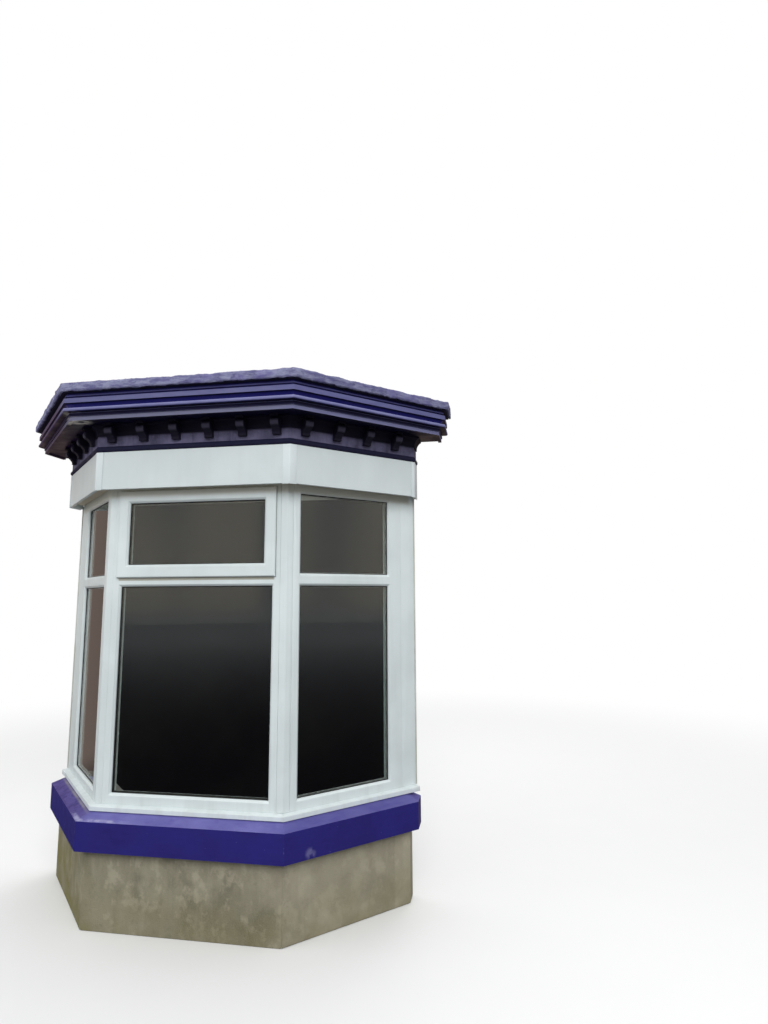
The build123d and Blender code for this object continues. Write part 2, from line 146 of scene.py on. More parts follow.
class Graph:
    """The nodes of one material or world."""

    def __init__(self, owner: Union[bpy.types.Material, bpy.types.World], space: str = "Object") -> None:
        """Start a tree whose patterns read the place in this space, which on a piece is in metres."""
        owner.use_nodes = True
        self.tree = owner.node_tree
        self.tree.nodes.clear()
        self.place = self.node("TexCoord").outputs[space]

    def node(
        self, kind: str, settings: Optional[Settings] = None, inputs: Optional[Inputs] = None
    ) -> bpy.types.Node:
        """Add a node.

        Args:
            kind: the node's type, without ShaderNode.
            settings: its own settings, set first.
            inputs: a number, colour, value or socket for each of its sockets, by name or place.

        Returns:
            The node.
        """
        made = self.tree.nodes.new(f"ShaderNode{kind}")
        for name, setting in (settings or {}).items():
            setattr(made, name, setting)
        for key, term in (inputs or {}).items():
            socket = made.inputs[key]
            if isinstance(term, Value):
                self.tree.links.new(term.socket, socket)
            elif isinstance(term, Socket):
                self.tree.links.new(term, socket)
            else:
                socket.default_value = term
        return made

    def value(
        self, kind: str, settings: Optional[Settings] = None, inputs: Optional[Inputs] = None,
        output: Union[str, int] = 0,
    ) -> Value:
        """One output of a new node, as a value."""
        return Value(self, self.node(kind, settings, inputs).outputs[output])

    def parts(self, vector: Socket) -> Tuple[Value, Value, Value]:
        """The three parts of a vector."""
        made = self.node("SeparateXYZ", inputs={0: vector})
        return tuple(Value(self, part) for part in made.outputs)

    def axes(self) -> Tuple[Value, Value, Value]:
        """The three parts of the place."""
        return self.parts(self.place)

    def normal(self) -> Socket:
        """The way a surface faces."""
        return self.node("NewGeometry").outputs["Normal"]

    def upward(self) -> Value:
        """How far a surface faces up: 1 level, 0 upright, -1 an underside."""
        return self.parts(self.normal())[2]

    def outward(self) -> Value:
        """How far a place stands out from the bay's line in plan, in metres."""
        x, y, _ = self.axes()
        front = FRONT_Y - y
        slant = (x.size() - FRONT_HALF + front) * math.sin(CANT)
        return front.larger(slant).larger(x.size() - SIDE_HALF)

    def near(self, centre: Triple, radius: float) -> Value:
        """1 at a place, falling to 0 at a radius."""
        away = self.value("VectorMath", {"operation": "DISTANCE"}, {0: self.place, 1: centre}, "Value")
        return away.step(radius, radius * 0.35)

    def noise(
        self, scale: float, detail: float = 3.0, stretch: Triple = (1, 1, 1),
        rough: float = 0.55, warp: float = 0.0,
    ) -> Value:
        """Cloudy noise about 0.5.

        Args:
            scale: waves a metre.
            detail: octaves.
            stretch: scale of each axis; a small number draws the noise out along it.
            rough: strength of the fine octaves.
            warp: distortion.

        Returns:
            The noise.
        """
        laid = self.node("Mapping", inputs={"Vector": self.place, "Scale": stretch})
        return self.value("TexNoise", inputs={
            "Vector": laid.outputs[0], "Scale": scale, "Detail": detail,
            "Roughness": rough, "Distortion": warp,
        })

    def arris(self, radius: float) -> Value:
        """Nearness to an edge, from 0 on a flat to about 1 on an arris."""
        rounded = self.node("Bevel", {"samples": 4}, {"Radius": radius}).outputs[0]
        settings = {"operation": "DOT_PRODUCT"}
        same = self.value("VectorMath", settings, {0: rounded, 1: self.normal()}, "Value")
        return ((1 - same) * 4).held()

    def mix(self, share: Term, first: Term, second: Term) -> Socket:
        """A colour between two, by share."""
        return self.node("Mix", {"data_type": "RGBA"}, {0: share, 6: first, 7: second}).outputs[2]

    def coats(self, ground: Term, *laid: Tuple[Term, Term]) -> Term:
        """A colour under several coats.

        Args:
            ground: the lowest colour.
            laid: for each coat, how much of it covers what lies below, and its colour.

        Returns:
            The colour on top.
        """
        for share, colour in laid:
            ground = self.mix(share, ground, colour)
        return ground

    def bump(self, height: Value, depth: float) -> Socket:
        """A bumped normal; depth is the height's full range in metres."""
        return self.node("Bump", inputs={"Height": height, "Distance": depth}).outputs[0]

    def glow(self, colour: Term, kind: str = "Emission") -> Socket:
        """Light of this colour, at a strength of 1."""
        return self.node(kind, inputs={"Color": colour, "Strength": 1.0}).outputs[0]

    def over(self, share: Value, first: Socket, second: Socket) -> Socket:
        """The second shader over the first, by share."""
        return self.node("MixShader", inputs={0: share, 1: first, 2: second}).outputs[0]

    def shade(self, inputs: Inputs) -> Socket:
        """A principled shader with these inputs."""
        return self.node("BsdfPrincipled", inputs=inputs).outputs[0]

    def end(self, shader: Socket, kind: str = "OutputMaterial") -> None:
        """End the tree in this shader."""
        self.node(kind, inputs={"Surface": shader})


# Finishes


class Finish:
    """A finish that makes one material, named by its label."""

    label: str

    def paint(self, graph: Graph) -> Inputs:
        """Lay the nodes, and say what feeds the principled shader."""
        raise NotImplementedError

    def lay_on(self, piece: Piece) -> None:
        """Make this the piece's one finish, with a material that is made once, and report the piece."""
        material = bpy.data.materials.get(self.label)
        if material is None:
            material = bpy.data.materials.new(self.label)
            graph = Graph(material)
            graph.end(graph.shade(self.paint(graph)))
        piece.data.materials.clear()
        piece.data.materials.append(material)
        log.info("%s: %s", piece.name, self.label)


@dataclass(frozen=True)
class WindowPlastic(Finish):
    """Satin white window plastic with a little grime, and a warm band of painted shade under the fascia."""

    label: str = "window_plastic"
    clean: Colour = srgb(216, 225, 226)
    shade: Colour = srgb(207, 216, 217)
    # the grime colour, also used for the painted shadow under the sash
    dirt_and_shadow: Colour = srgb(150, 146, 132)
    # the colour of the painted shade under the fascia
    shaded: Colour = srgb(184, 183, 172)
    dirt_share: float = 0.07
    roughness: float = 0.3
    grain: float = 0.00008
    splash: Pair = (0.74, 0.62)
    tuck: Triple = (2.33, FASCIA_FOOT + 0.05, 0.016)
    tuck_out: Pair = (0.06, 0.04)

    def paint(self, graph: Graph) -> Inputs:
        """Lay the nodes."""
        _, _, z = graph.axes()
        cloud = graph.noise(2.6, 4).step(0.35, 0.65)
        streak = graph.noise(16, 4, (1, 1, 0.05)).step(0.42, 0.7)
        speck = graph.noise(220, 2).step(0.6, 0.78)
        low = z.step(*self.splash)
        soil = (streak * 0.55 + speck * 0.25 + low * streak * 1.3) * self.dirt_share
        # painted shade: a warm grey band where the fascia overhangs the frames
        under_fascia_shade = z.band(*self.tuck) * graph.outward().step(*self.tuck_out)
        colour = graph.coats(
            self.clean,
            (cloud, self.shade),
            (under_fascia_shade * 0.85, self.shaded),
            # grime, and on the front frame the painted shadow under the sash, in one colour
            ((soil + self.painted_shadow(graph)).held(), self.dirt_and_shadow),
        )
        return {
            "Base Color": colour,
            "Roughness": self.roughness + 0.1 * cloud + 0.25 * soil,
            "Normal": graph.bump(graph.noise(420, 2), self.grain),
        }

    def painted_shadow(self, graph: Graph) -> Amount:
        """Where a painted shadow lies: nowhere."""
        return 0.0


@dataclass(frozen=True)
class FrontFramePlastic(WindowPlastic):
    """The front frame's plastic, with a painted grey shadow line under the sash."""

    label: str = "front_frame_plastic"
    sash_foot: float = 1.862
    sash_half: float = 0.468
    line: float = 0.017

    def painted_shadow(self, graph: Graph) -> Value:
        """The painted shadow that the sash casts on the frame under it."""
        x, _, z = graph.axes()
        across = x.size().step(self.sash_half + 0.006, self.sash_half - 0.006)
        return z.band(self.sash_foot - self.line, self.sash_foot + 0.01, 0.003) * across * 0.85


@dataclass(frozen=True)
class StonePaint(Finish):
    """Thick purple masonry paint on a stone sill, with a painted sky sheen on what faces up, weaker on the
    right cant, and painted shade on the left cant's top.
    """

    label: str = "sill_paint"
    face: Colour = srgb(43, 39, 120)
    deep: Colour = srgb(36, 30, 102)
    # painted sky sheen on the top
    sky_sheen: Colour = srgb(112, 109, 172)
    bright: Colour = srgb(92, 84, 160)
    bare: Colour = srgb(150, 148, 186)
    # painted shade colours for the left cant's top
    left_top_shade: Colour = srgb(80, 70, 134)
    left_top_deep_shade: Colour = srgb(58, 48, 112)
    mortar: Colour = srgb(136, 133, 138)
    gloss: float = 0.22
    left_from: Pair = (-0.52, -0.62)
    right_from: Pair = (0.5, 0.62)
    edge: Triple = (0.08, 0.101, 0.006)
    joint: Triple = (0.028, 0.042, 0.005)
    corner: Triple = (-0.5, -0.25, 0.57)
    corner_reach: float = 0.26
    scuff: Triple = (0.692, -0.148, 0.438)
    scuff_reach: float = 0.04

    def paint(self, graph: Graph) -> Inputs:
        """Lay the nodes."""
        x, _, _ = graph.axes()
        out = graph.outward()
        up = graph.upward().step(0.15, 0.6)
        left, right = x.step(*self.left_from), x.step(*self.right_from)
        cloud = graph.noise(5, 4).step(0.3, 0.7)
        brush = graph.noise(38, 4, (0.25, 0.25, 1.6), warp=0.4)
        # painted sheen on what faces up, weaker on the right cant
        painted_light = (up * (0.72 + 0.28 * cloud) * (1 - 0.34 * right)).held()
        face = graph.mix((cloud * 0.6 + brush * 0.4).held(), self.face, self.deep)
        # painted shade on the left cant's top, in two tones
        rough = graph.noise(22, 4, rough=0.65)
        shaded = graph.mix(rough.step(0.46, 0.62), self.left_top_shade, self.left_top_deep_shade)
        top = graph.coats(
            self.sky_sheen, (brush.step(0.44, 0.78) * 0.7, self.bright), (left * 0.94, shaded)
        )
        rub = graph.noise(34, 5, (0.5, 0.5, 1.0), rough=0.7).step(0.36, 0.58)
        rubbed = out.band(*self.edge) * graph.near(self.corner, self.corner_reach) * rub * up
        scuff = graph.near(self.scuff, self.scuff_reach) * graph.noise(26, 2).step(0.35, 0.6)
        patch = rubbed + scuff * 0.32
        nick = graph.arris(0.006).step(0.25, 0.8) * graph.noise(60, 3).step(0.58, 0.66) * 0.3
        spots = graph.noise(55, 1).step(0.68, 0.76) * left * up * 0.6
        chips = graph.noise(90, 3).step(0.73, 0.77) + spots
        line = out.band(*self.joint) * left * up
        line = line * (0.55 + 0.45 * graph.noise(9, 3).step(0.38, 0.6))
        colour = graph.coats(
            face,
            (painted_light, top),
            ((patch + nick + chips * 0.5).held(), self.bare),
            (line * 0.8, self.mortar),
        )
        skin = graph.noise(26, 5, rough=0.6) * 0.7 + graph.noise(150, 3) * 0.3
        return {
            "Base Color": colour,
            "Roughness": 0.4 + 0.22 * cloud + 0.2 * patch,
            "Specular IOR Level": self.gloss,
            "Normal": graph.bump(skin, 0.0022),
        }


@dataclass(frozen=True)
class CornicePaint(Finish):
    """Purple gloss paint on the cornice, with painted highlights and a grey sheen on what stands out, and
    painted shade in the hollows, on the undersides and above the upper fillet.
    """

    label: str = "cornice_gloss_paint"
    hollow: Colour = srgb(36, 35, 108)
    body: Colour = srgb(44, 41, 104)
    # painted highlight, painted grey sheen and painted shade colours, in that order
    light: Colour = srgb(122, 123, 165)
    grey_sheen: Colour = srgb(110, 111, 133)
    dull: Colour = srgb(13, 11, 42)
    # painted reflection of the brick wall on the left cant
    mauve_reflection: Colour = srgb(54, 26, 66)
    grime: Colour = srgb(122, 120, 130)
    bare: Colour = srgb(204, 198, 190)
    bare_corner: Triple = (-0.64, -0.372, SOFFIT_Z)
    bare_reach: float = 0.1
    gloss: float = 0.15
    # bands of painted highlight: lower fillet, upper fillet and the strip above
    noses: Tuple[Triple, ...] = (
        (2.7275, 2.7505, 0.8), (2.819, 2.8455, 0.56), (2.8565, 2.8655, 0.22),
    )
    grey_sheen_bands: Tuple[Triple, ...] = ((2.7275, 2.7505, 0.85), (2.819, 2.8455, 0.32))
    band_soft: float = 0.0012
    torus: Triple = (2.769, 2.792, 0.0034)
    undercut: Triple = (2.7505, 2.769, 0.001)
    above: Pair = (2.845, 2.847)
    left_from: Pair = (-0.62, -0.9)
    right_from: Pair = (0.45, 0.75)

    def paint(self, graph: Graph) -> Inputs:
        """Lay the nodes."""
        x, _, z = graph.axes()
        cloud = graph.noise(7, 4).step(0.3, 0.7)
        drag = graph.noise(60, 4, (0.2, 0.2, 1.0)).step(0.3, 0.72)
        up = graph.upward()
        painted_light = up.step(0.1, 0.7) * 0.45
        # painted highlights on what faces up, on the fillets and on the torus
        for low, high, share in self.noses:
            painted_light = painted_light + z.band(low, high, self.band_soft) * share
        painted_light = painted_light + z.band(*self.torus)
        painted_light = (painted_light * (0.72 + 0.28 * drag)).held()
        # painted shade on undersides, in the undercut and above the upper fillet
        painted_shade = up.step(-0.8, -0.95) + z.band(*self.undercut) * 0.94
        painted_shade = (painted_shade + z.step(*self.above) * 0.35).held()
        standing = 1 - up.step(-0.5, -0.9)
        painted = graph.coats(
            self.hollow, (cloud * 0.45, self.body), (painted_shade, self.dull), ((painted_light * standing).held(), self.light)
        )
        # painted grey sheen on the fillets, weaker on the right cant
        for low, high, share in self.grey_sheen_bands:
            share = (1 - x.step(*self.right_from) * 0.5) * share
            painted = graph.mix(z.band(low, high, self.band_soft) * standing * share, painted, self.grey_sheen)
        flaked = graph.near(self.bare_corner, self.bare_reach) * graph.noise(24, 4).step(0.34, 0.54)
        nick = graph.arris(0.004).step(0.3, 0.9) * graph.noise(45, 3).step(0.62, 0.7)
        spots = graph.noise(70, 3).step(0.72, 0.78) * 0.4
        colour = graph.coats(
            painted,
            # painted mauve reflection on the left cant, less where painted shade lies
            (x.step(*self.left_from) * (0.8 - 0.35 * painted_shade), self.mauve_reflection),
            (flaked * up.step(-0.3, -0.8), self.bare),
            ((nick * 0.45 + spots).held(), self.grime),
        )
        return {
            "Base Color": colour,
            "Roughness": 0.34 + 0.2 * cloud,
            "Specular IOR Level": self.gloss,
            "Normal": graph.bump(drag * 0.5 + graph.noise(120, 3) * 0.5, 0.001),
        }


@dataclass(frozen=True)
class FriezePaint(Finish):
    """Old dull violet paint on the frieze and its brackets, with painted shadow under the soffit, painted
    shade on the brackets and a painted highlight on each bracket's belly.
    """

    label: str = "frieze_old_paint"
    board: Colour = srgb(104, 101, 130)
    bead: Colour = srgb(30, 30, 54)
    # painted shadow under the soffit
    dark: Colour = srgb(22, 20, 36)
    # stains on the board, and painted shade on the brackets
    stain_and_shade: Colour = srgb(27, 25, 40)
    # painted highlight on the brackets' bellies
    belly_highlight: Colour = srgb(86, 84, 104)
    dust: Colour = srgb(118, 112, 134)
    gloss: float = 0.15
    bead_top: Pair = (2.6155, 2.6125)
    gloom: Pair = (2.662, 2.68)
    swell: Triple = (2.668, 2.705, 0.01)
    bracket_out: Pair = (FRIEZE_FACE + 0.002, FRIEZE_FACE + 0.008)
    swell_out: Pair = (FRIEZE_FACE + 0.052, FRIEZE_FACE + 0.066)

    def paint(self, graph: Graph) -> Inputs:
        """Lay the nodes."""
        _, _, z = graph.axes()
        out = graph.outward()
        cloud = graph.noise(9, 4).step(0.3, 0.7)
        stain = graph.noise(30, 4, (1, 1, 0.15)).step(0.45, 0.75)
        swell = z.band(*self.swell) * out.step(*self.swell_out)
        nick = graph.arris(0.003).step(0.4, 0.9) * graph.noise(55, 3).step(0.6, 0.7)
        colour = graph.coats(
            self.board,
            (cloud * 0.5 + stain * 0.3, self.stain_and_shade),
            # painted shade on all that stands out from the board
            (out.step(*self.bracket_out), self.stain_and_shade),
            (z.step(*self.bead_top), self.bead),
            # painted shadow of the overhang on the upper frieze, then the painted highlight on the bellies
            (z.step(*self.gloom) * (1 - swell), self.dark),
            (swell * 0.42, self.belly_highlight),
            (nick * 0.35, self.dust),
        )
        return {
            "Base Color": colour,
            "Roughness": 0.55 + 0.2 * cloud,
            "Specular IOR Level": self.gloss,
            "Normal": graph.bump(graph.noise(110, 4), 0.001),
        }


@dataclass(frozen=True)
class CoveringPaint(Finish):
    """Rough old covering, brushed with purple paint along its ragged edge."""

    label: str = "covering_paint"
    purple: Colour = srgb(92, 90, 132)
    lilac: Colour = srgb(138, 140, 170)
    fresh: Colour = srgb(96, 86, 150)
    felt: Colour = srgb(86, 84, 98)
    deep: Colour = srgb(50, 48, 86)
    right_from: Pair = (0.6, 0.85)
    top_from: Pair = (2.905, 2.955)

    def paint(self, graph: Graph) -> Inputs:
        """Lay the nodes."""
        x, _, z = graph.axes()
        lump = graph.noise(26, 5, rough=0.65)
        mottle = graph.noise(34, 4, (0.35, 0.35, 1.4), rough=0.7)
        shade = lump.step(0.56, 0.74) * 0.6 + x.step(*self.right_from) * 0.22
        edge = graph.coats(
            self.purple,
            (mottle.step(0.36, 0.64), self.lilac),
            (graph.noise(5, 3).step(0.52, 0.66) * 0.45, self.fresh),
            (shade.held(), self.deep),
        )
        top = graph.coats(
            self.felt,
            (graph.noise(3, 5).step(0.35, 0.7), self.purple),
            (graph.noise(38, 5, rough=0.7).step(0.42, 0.66) * 0.3, self.lilac),
            (graph.noise(14, 4, rough=0.6).step(0.52, 0.72) * 0.35, self.deep),
        )
        share = (graph.upward().step(0.3, 0.8) * z.step(*self.top_from)).held()
        return {
            "Base Color": graph.mix(share, edge, top),
            "Roughness": 0.7 + 0.2 * mottle,
            "Normal": graph.bump(lump * 0.7 + graph.noise(500, 2) * 0.3, 0.004),
        }


@dataclass(frozen=True)
class CementRender(Finish):
    """Old cement render, streaked by rain, green with damp at its foot, and darker under the sill with grime
    and painted shade.
    """

    label: str = "cement_render"
    sand: Colour = srgb(146, 141, 121)
    grey: Colour = srgb(126, 121, 104)
    pale: Colour = srgb(160, 155, 136)
    bleached: Colour = srgb(178, 171, 150)
    damp: Colour = srgb(122, 116, 74)
    soot: Colour = srgb(100, 96, 82)
    pale_patch: Triple = (0.56, -0.19, 0.33)
    pale_reach: float = 0.2
    right_from: Pair = (0.5, 0.72)
    return_from: Pair = (1.055, 1.065)
    left_from: Pair = (-0.35, -0.85)
    left_damp: Pair = (0.5, 0.25)
    foot_damp: Pair = (0.3, 0.02)
    under_sill_from: Pair = (0.372, 0.412)

    def paint(self, graph: Graph) -> Inputs:
        """Lay the nodes."""
        x, _, z = graph.axes()
        cloud = graph.noise(3.2, 5).step(0.32, 0.68)
        run = graph.noise(13, 5, (1, 1, 0.1), warp=0.3)
        sand = graph.noise(160, 3)
        smudge = graph.noise(6.5, 4, (1, 1, 0.75), rough=0.6)
        patch = graph.noise(11, 5, (1, 1, 0.8), rough=0.65)
        pale = x.step(*self.right_from) * 0.5 + graph.near(self.pale_patch, self.pale_reach) * 0.4
        pale = (pale + x.step(*self.return_from) * 0.25) * (0.75 + 0.5 * smudge.step(0.5, 0.35))
        wet = graph.noise(6, 4).step(0.35, 0.62)
        left = x.step(*self.left_from) * z.step(*self.left_damp)
        damp = (z.step(*self.foot_damp) * 0.45 + left * 0.8) * (0.35 + 0.65 * wet)
        # grime and painted shade: darker under the sill
        under_sill = z.step(*self.under_sill_from) * (0.5 + 0.5 * run.step(0.35, 0.6))
        colour = graph.coats(
            self.sand,
            (cloud, self.grey),
            (run.step(0.5, 0.76) * 0.55, self.pale),
            (run.step(0.46, 0.24) * 0.34, self.soot),
            (smudge.step(0.52, 0.64) * 0.46, self.soot),
            (patch.step(0.5, 0.64) * 0.5, self.bleached),
            (patch.step(0.44, 0.32) * 0.34, self.soot),
            (pale.held(), self.bleached),
            (damp.held(), self.damp),
            (under_sill * 0.6, self.soot),
            (sand.step(0.35, 0.75) * 0.22, self.pale),
        )
        trowel = graph.noise(11, 5, rough=0.6)
        return {
            "Base Color": colour,
            "Roughness": 0.86 + 0.1 * cloud,
            "Normal": graph.bump(trowel * 0.55 + sand * 0.3 + graph.noise(60, 4) * 0.15, 0.006),
        }


@dataclass(frozen=True)
class SawnTimber(Finish):
    """Sawn softwood that the boards and trims hide."""

    label: str = "sawn_timber"
    pale: Colour = srgb(186, 158, 120)
    ring: Colour = srgb(158, 126, 88)
    grey: Colour = srgb(142, 133, 120)
    paint_colour: Colour = srgb(190, 156, 112)
    ring_stretch: Triple = (0.12, 0.6, 5.0)
    fibre_stretch: Triple = (0.06, 1.0, 4.0)

    def coated(self, graph: Graph) -> Amount:
        """Where the timber is painted over: nowhere."""
        return 0.0

    def paint(self, graph: Graph) -> Inputs:
        """Lay the nodes."""
        ring = graph.noise(11, 4, self.ring_stretch, warp=0.6)
        fibre = graph.noise(70, 3, self.fibre_stretch)
        colour = graph.coats(
            self.pale,
            (ring.step(0.38, 0.66) * 0.75, self.ring),
            (graph.noise(2.5, 3).step(0.45, 0.75) * 0.5, self.grey),
            (fibre.step(0.5, 0.8) * 0.35, self.ring),
            (self.coated(graph), self.paint_colour),
        )
        return {
            "Base Color": colour,
            "Roughness": 0.78 + 0.1 * ring,
            "Normal": graph.bump(fibre * 0.7 + ring * 0.3, 0.0012),
        }


@dataclass(frozen=True)
class StudTimber(SawnTimber):
    """Sawn timber whose grain runs upright."""

    label: str = "stud_timber"
    ring_stretch: Triple = (4.0, 4.0, 0.12)
    fibre_stretch: Triple = (3.0, 3.0, 0.06)


@dataclass(frozen=True)
class PaintedTimber(SawnTimber):
    """Sawn timber whose outer parts are painted over: purple paint, near black, which is also painted shade
    of the gap under the covering.
    """

    label: str = "deck_timber"
    # purple paint, with painted shade of the gap under the covering
    paint_colour: Colour = srgb(24, 22, 50)
    painted_from: float = 0.2
    paint_soft: float = 0.002

    def coated(self, graph: Graph) -> Value:
        """Where the paint lies."""
        start = self.painted_from
        return graph.outward().step(start - self.paint_soft, start + self.paint_soft)


@dataclass(frozen=True)
class HeadTimber(PaintedTimber):
    """The head's timber, boarded white on its underside outside the frames."""

    label: str = "head_timber"
    paint_colour: Colour = srgb(214, 204, 184)
    painted_from: float = -0.002
    paint_soft: float = 0.001

    def coated(self, graph: Graph) -> Value:
        """Where the white board lies."""
        return super().coated(graph) * graph.upward().step(-0.5, -0.8)


@dataclass(frozen=True)
class CeilingPaint(Finish):
    """Matt emulsion on plasterboard."""

    label: str = "ceiling_paint"
    clean: Colour = srgb(226, 223, 214)
    shade: Colour = srgb(210, 206, 196)

    def paint(self, graph: Graph) -> Inputs:
        """Lay the nodes."""
        roller = graph.noise(240, 3)
        return {
            "Base Color": graph.mix(graph.noise(1.8, 3).step(0.35, 0.7), self.clean, self.shade),
            "Roughness": 0.85 + 0.08 * roller,
            "Normal": graph.bump(roller, 0.0004),
        }


@dataclass(frozen=True)
class WindowGlass(Finish):
    """Clear float glass of the sealed units, with a light film of dust."""

    label: str = "window_glass"
    tint: Colour = srgb(205, 214, 210)

    def paint(self, graph: Graph) -> Inputs:
        """Lay the nodes."""
        film = graph.noise(5, 4).step(0.45, 0.8)
        return {
            "Base Color": self.tint,
            "Roughness": 0.004 + 0.012 * film,
            "Transmission Weight": 1.0,
            "IOR": 1.52,
        }


@dataclass(frozen=True)
class SealRubber(Finish):
    """Black rubber of the glazing seals."""

    label: str = "seal_rubber"
    black: Colour = srgb(24, 25, 26)
    dust: Colour = srgb(70, 70, 68)

    def paint(self, graph: Graph) -> Inputs:
        """Lay the nodes."""
        dust = graph.noise(40, 3).step(0.5, 0.8)
        return {
            "Base Color": graph.mix(dust * 0.5, self.black, self.dust),
            "Roughness": 0.55 + 0.2 * dust,
            "Normal": graph.bump(graph.noise(300, 2), 0.0002),
        }


@dataclass(frozen=True)
class SpacerMetal(Finish):
    """Satin aluminium of the spacer bars between the panes of a sealed unit."""

    label: str = "spacer_metal"
    clean: Colour = srgb(188, 190, 188)
    dull: Colour = srgb(160, 162, 160)
    metal: float = 0.35

    def paint(self, graph: Graph) -> Inputs:
        """Lay the nodes."""
        cloud = graph.noise(18, 3).step(0.4, 0.7)
        return {
            "Base Color": graph.mix(cloud, self.clean, self.dull),
            "Metallic": self.metal,
            "Roughness": 0.42 + 0.12 * cloud,
            "Normal": graph.bump(graph.noise(260, 2), 0.00015),
        }


# The modelling bench


@dataclass(frozen=True)
class Side:
    """One face of the bay in plan: its name, the corner it starts from and its turn about Z."""

    name: str
    corner: Pair
    turn: float

    def place(self, along: float, height: float, out: float) -> Vector:
        """A point by its distance along the face, its height and its distance out from the bay's line."""
        run = Vector((math.cos(self.turn), math.sin(self.turn), 0))
        away = Vector((math.sin(self.turn), -math.cos(self.turn), 0))
        return Vector((*self.corner, 0)) + run * along + away * out + Vector((0, 0, height))


FRONT = Side("front", (0.0, FRONT_Y), 0.0)
RIGHT = Side("right", (FRONT_HALF, FRONT_Y), CANT)
LEFT = Side("left", (-FRONT_HALF, FRONT_Y), -CANT)
CANTED = ((RIGHT, 1), (LEFT, -1))


def pick(*pieces: Piece) -> None:
    """Select these pieces alone, or none, and make the first one active."""
    bpy.ops.object.select_all(action="DESELECT")
    for piece in reversed(pieces):
        piece.select_set(True)
        bpy.context.view_layer.objects.active = piece


def settle(name: str) -> Piece:
    """Name the new piece and put its place into its mesh."""
    piece = bpy.context.object
    piece.name = name
    piece.data.name = name
    bpy.ops.object.transform_apply(location=True, rotation=True, scale=True)
    return piece


def block(name: str, side: Side, centre: Triple, size: Triple, ease: float, steps: int = 2) -> Piece:
    """A block on a face with all its edges eased.

    Args:
        name: the piece's name.
        side: the face that it sits on.
        centre: its middle, along, up and out.
        size: its length along, its depth out and its height.
        ease: how far its edges are rounded.
        steps: segments of the rounding.

    Returns:
        The piece.
    """
    pick()
    bpy.ops.mesh.primitive_cube_add(size=1, location=side.place(*centre), rotation=(0, 0, side.turn))
    bpy.context.object.scale = size
    piece = settle(name)
    bpy.ops.object.mode_set(mode="EDIT")
    bpy.ops.mesh.select_all(action="SELECT")
    bpy.ops.mesh.bevel(offset=ease, segments=steps, affect="EDGES")
    bpy.ops.mesh.normals_make_consistent(inside=False)
    bpy.ops.object.mode_set(mode="OBJECT")
    return piece


def sheet(name: str, middle: Vector, turn: float, width: float, height: float) -> Piece:
    """An upright flat sheet.

    Args:
        name: the piece's name.
        middle: its middle.
        turn: its turn about Z.
        width: its length in plan.
        height: how high it is.

    Returns:
        The piece.
    """
    pick()
    bpy.ops.mesh.primitive_plane_add(size=1, location=middle, rotation=(UPRIGHT, 0, turn))
    bpy.context.object.scale = (width, height, 1)
    return settle(name)


def ring(
    name: str, side: Side, centre: Triple, opening: Pair, width: float, depth: float, ease: float
) -> Piece:
    """A flat ring round an opening, standing out from a plane.

    Args:
        name: the piece's name.
        side: the face that it is parallel to.
        centre: the opening's middle on the ring's back plane, along, up and out.
        opening: the opening's width and height.
        width: how far the ring reaches outwards; below zero it reaches into the opening.
        depth: how thick it is.
        ease: how far its edges are rounded.

    Returns:
        The piece.
    """
    outer = [span + 2 * max(width, 0) for span in opening]
    piece = sheet(name, side.place(*centre), side.turn, *outer)
    bpy.ops.object.mode_set(mode="EDIT")
    bpy.ops.mesh.select_mode(type="FACE")
    bpy.ops.mesh.select_all(action="SELECT")
    bpy.ops.mesh.inset(thickness=abs(width))
    bpy.ops.mesh.delete(type="FACE")
    bpy.ops.mesh.select_all(action="SELECT")
    out = side.place(0, 0, depth) - side.place(0, 0, 0)
    bpy.ops.mesh.extrude_region_move(TRANSFORM_OT_translate={"value": out})
    bpy.ops.mesh.select_all(action="SELECT")
    bpy.ops.mesh.normals_make_consistent(inside=False)
    bpy.ops.mesh.bevel(offset=ease, segments=1, affect="EDGES")
    bpy.ops.object.mode_set(mode="OBJECT")
    return piece


def folded(name: str, course: Sequence[Pair], foot: float, top: float, thick: float, ease: float) -> Piece:
    """An upright strip that turns with a plan course, such as a corner trim.

    Args:
        name: the piece's name.
        course: its corners in plan, from left to right as seen from outside.
        foot: height of its lower edge.
        top: height of its upper edge.
        thick: how far it stands out.
        ease: how far its edges are rounded.

    Returns:
        The piece.
    """
    start, end = Vector((*course[0], 0)), Vector((*course[1], 0))
    turn = math.atan2(end.y - start.y, end.x - start.x)
    middle = (start + end) / 2 + Vector((0, 0, (foot + top) / 2))
    piece = sheet(name, middle, turn, (end - start).length, top - foot)
    for before, after in zip(course[1:], course[2:]):
        bpy.ops.object.mode_set(mode="EDIT")
        bpy.ops.mesh.select_mode(type="VERT")
        bpy.ops.mesh.select_all(action="DESELECT")
        bpy.ops.object.mode_set(mode="OBJECT")
        for point in piece.data.vertices:
            point.select = (point.co.xy - Vector(before)).length < 1e-5
        bpy.ops.object.mode_set(mode="EDIT")
        step = (after[0] - before[0], after[1] - before[1], 0)
        bpy.ops.mesh.extrude_region_move(TRANSFORM_OT_translate={"value": step})
        bpy.ops.object.mode_set(mode="OBJECT")
    modifier(piece, "SOLIDIFY", {"thickness": thick, "offset": 1.0, "use_even_offset": True})
    modifier(piece, "BEVEL", {"width": ease, "segments": 2, "limit_method": "ANGLE"})
    return piece


def modifier(piece: Piece, kind: str, settings: Settings) -> None:
    """Add a modifier with its settings and apply it."""
    pick(piece)
    made = piece.modifiers.new(kind.lower(), kind)
    for name, setting in settings.items():
        setattr(made, name, setting)
    bpy.ops.object.modifier_apply(modifier=made.name)


def join(name: str, *parts: Piece) -> Piece:
    """Make one piece of several."""
    pick(*parts)
    bpy.ops.object.join()
    return settle(name)


